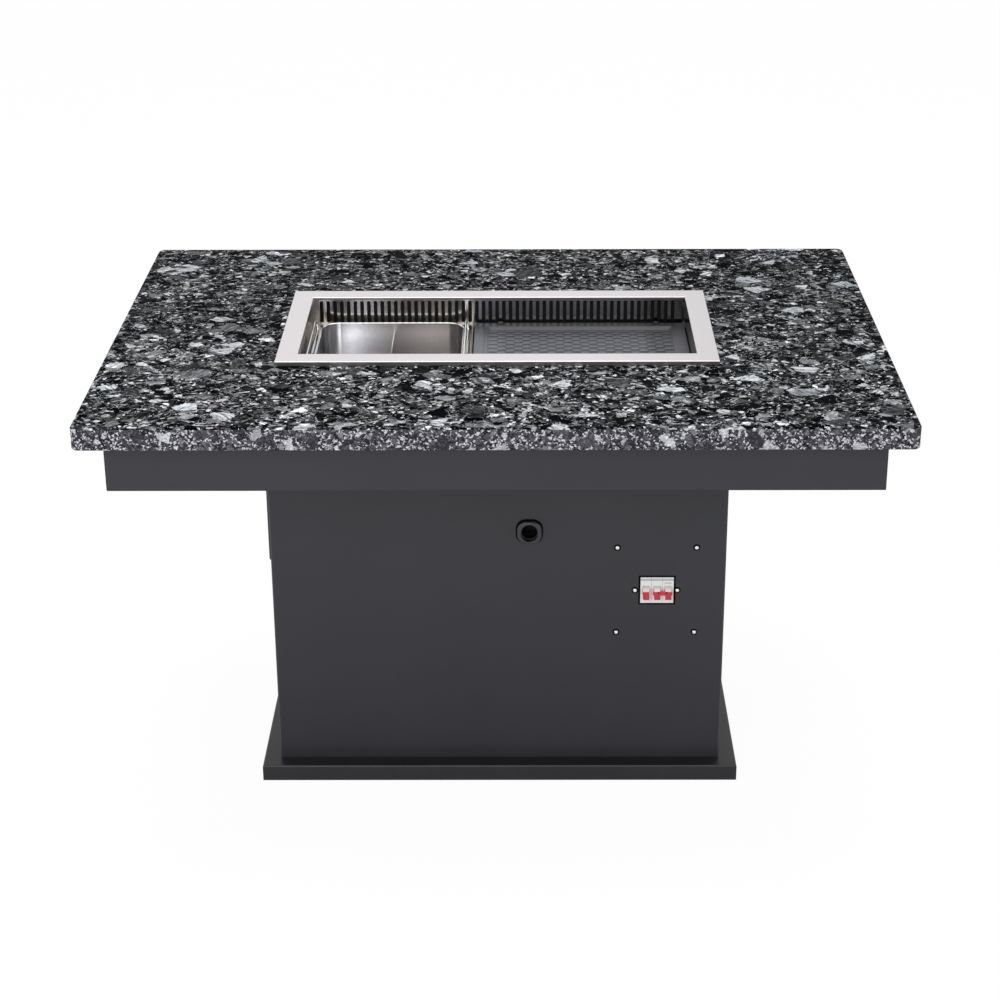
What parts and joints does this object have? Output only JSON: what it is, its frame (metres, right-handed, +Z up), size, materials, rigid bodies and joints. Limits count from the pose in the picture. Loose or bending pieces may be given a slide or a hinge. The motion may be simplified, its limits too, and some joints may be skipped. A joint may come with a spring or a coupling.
{
  "type": "hotpot and barbecue table",
  "caption": "Stone-topped restaurant table with an inset divided pot, a ribbed grill plate, slotted smoke intake walls and a steel pedestal with a fan and filter drawer.",
  "frame": {"origin": "on the floor, under the middle of the table top", "axes": "+X along the length of the table, +Y away from the side with the switches, +Z up"},
  "size_m": [1.2, 0.8, 0.727],
  "materials": {
    "stone": "polished dark stone with light flecks",
    "board": "bare plywood",
    "charcoal_paint": "satin powder coat",
    "zinc_steel": "zinc-coated sheet",
    "satin_stainless": "satin stainless",
    "polished_stainless": "polished stainless",
    "black_casting": "semi-gloss non-stick coat",
    "heater_sheath": "dull heat-stained sheath",
    "black_housing": "matt black",
    "black_glass": "opaque black hob glass",
    "motor_paint": "grey enamel",
    "bushing_plastic": "moulded charcoal",
    "breaker_white": "moulded white",
    "lever_red": "moulded red",
    "screw_steel": "bright zinc"
  },
  "bodies": {
    "table": {"table_top": "stone", "backer_board": "board", "trim_frame": "satin_stainless", "apron_front": "charcoal_paint", "apron_back": "charcoal_paint", "apron_left": "charcoal_paint", "apron_right": "charcoal_paint", "apron_floor": "charcoal_paint", "cross_bearers": "zinc_steel", "long_bearers": "zinc_steel", "pedestal_front": "charcoal_paint", "pedestal_back": "charcoal_paint", "pedestal_left": "charcoal_paint", "pedestal_right": "charcoal_paint", "corner_posts": "zinc_steel", "base_plinth": "charcoal_paint", "intake_wall_front": "polished_stainless", "intake_wall_back": "polished_stainless", "liner_end_left": "polished_stainless", "liner_end_right": "polished_stainless", "liner_floor": "polished_stainless", "bay_partition": "polished_stainless", "pot_deck": "polished_stainless", "grill_ledges": "polished_stainless", "hob_body": "black_housing", "hob_glass": "black_glass", "grill_heater": "heater_sheath", "heater_brackets": "zinc_steel", "casing_wrap": "zinc_steel", "casing_ends": "zinc_steel", "filter_chamber": "zinc_steel", "drawer_runners": "zinc_steel", "fan_housing": "zinc_steel", "fan_cover": "zinc_steel", "fan_motor": "motor_paint", "exhaust_elbow": "zinc_steel", "exhaust_duct": "zinc_steel", "breaker_box": "black_housing", "din_rail": "zinc_steel", "breaker_single": "breaker_white", "breaker_double": "breaker_white", "panel_screws": "screw_steel", "back_screws": "screw_steel", "cable_bushing": "bushing_plastic", "bushing_nut": "bushing_plastic"},
    "pot": {"hotpot_body": "polished_stainless", "pot_divider": "polished_stainless", "handle_hinges": "polished_stainless"},
    "left_bail": {"pot_handle_left": "polished_stainless"},
    "right_bail": {"pot_handle_right": "polished_stainless"},
    "plate": {"grill_plate": "black_casting"},
    "grease_pan": {"water_pan": "satin_stainless"},
    "filter_drawer": {"drawer_front": "charcoal_paint", "drawer_tray": "satin_stainless"},
    "filter": {"filter_cassette": "satin_stainless"},
    "single_switch": {"lever_single": "lever_red"},
    "double_switch": {"lever_double": "lever_red"},
    "fan_wheel": {"impeller": "zinc_steel", "motor_shaft": "screw_steel"}
  },
  "joints": [
    {"name": "pot_lift", "type": "slide", "parent": "table", "child": "pot", "axis": [0, 0, 1], "range_m": [0, 0.15]},
    {"name": "left_bail_hinge", "type": "hinge", "parent": "pot", "child": "left_bail", "pos_m": [-0.2942, 0, 0.686], "axis": [0, 1, 0], "range_deg": [0, 30]},
    {"name": "right_bail_hinge", "type": "hinge", "parent": "pot", "child": "right_bail", "pos_m": [-0.0498, 0, 0.686], "axis": [0, -1, 0], "range_deg": [-30, 0]},
    {"name": "plate_lift", "type": "slide", "parent": "table", "child": "plate", "axis": [0, 0, 1], "range_m": [0, 0.15]},
    {"name": "grease_pan_lift", "type": "slide", "parent": "table", "child": "grease_pan", "axis": [0, 0, 1], "range_m": [0, 0.06]},
    {"name": "drawer_slide", "type": "slide", "parent": "table", "child": "filter_drawer", "axis": [-1, 0, 0], "range_m": [0, 0.2]},
    {"name": "filter_lift", "type": "slide", "parent": "filter_drawer", "child": "filter", "axis": [0, 0, 1], "range_m": [0, 0.04]},
    {"name": "single_switch_hinge", "type": "hinge", "parent": "table", "child": "single_switch", "pos_m": [0.2331, -0.1495, 0.3336], "axis": [-1, 0, 0], "range_deg": [0, 80]},
    {"name": "double_switch_hinge", "type": "hinge", "parent": "table", "child": "double_switch", "pos_m": [0.25935, -0.1495, 0.3336], "axis": [-1, 0, 0], "range_deg": [0, 80]},
    {"name": "fan_spin", "type": "hinge", "parent": "table", "child": "fan_wheel", "pos_m": [0.025, 0, 0.32], "axis": [0, 0, 1], "continuous": true}
  ]
}
